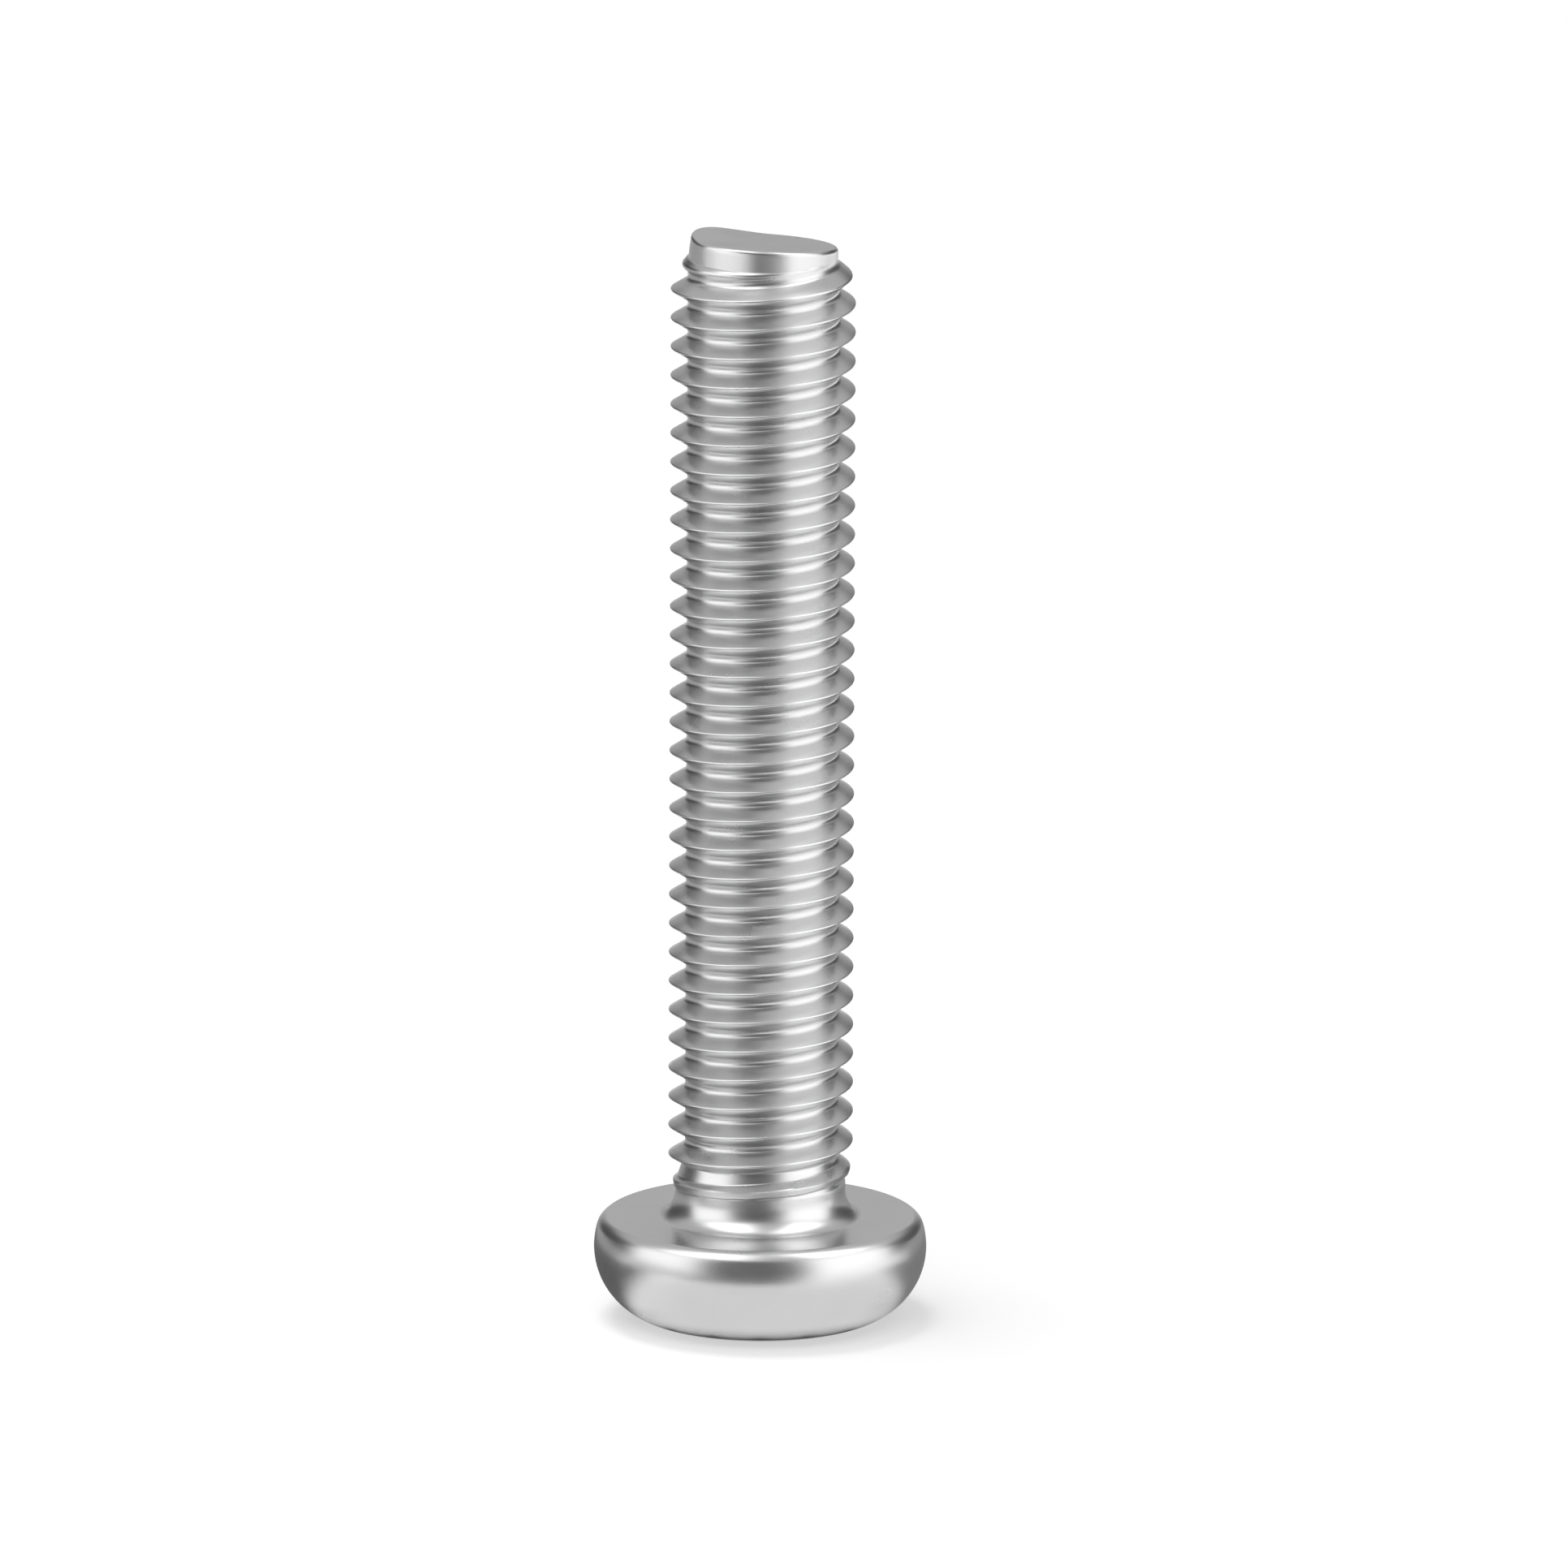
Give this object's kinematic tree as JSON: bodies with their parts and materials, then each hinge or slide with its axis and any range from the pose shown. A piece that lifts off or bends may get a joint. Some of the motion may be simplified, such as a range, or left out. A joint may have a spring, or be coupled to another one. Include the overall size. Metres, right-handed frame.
{
  "type": "machine screw",
  "caption": "Pan head machine screw with a cross recess and a full-length right-hand thread, standing on its head.",
  "frame": {"origin": "middle of the flat top of the head, which is the face it stands on", "axes": "+Z runs along the screw from the head to the tip, -Y is the side towards the viewer"},
  "size_m": [0.009, 0.009, 0.0301],
  "materials": {
    "steel": "bright, soft satin stainless steel"
  },
  "bodies": {
    "root": {"machine_screw": "steel"}
  },
  "joints": []
}
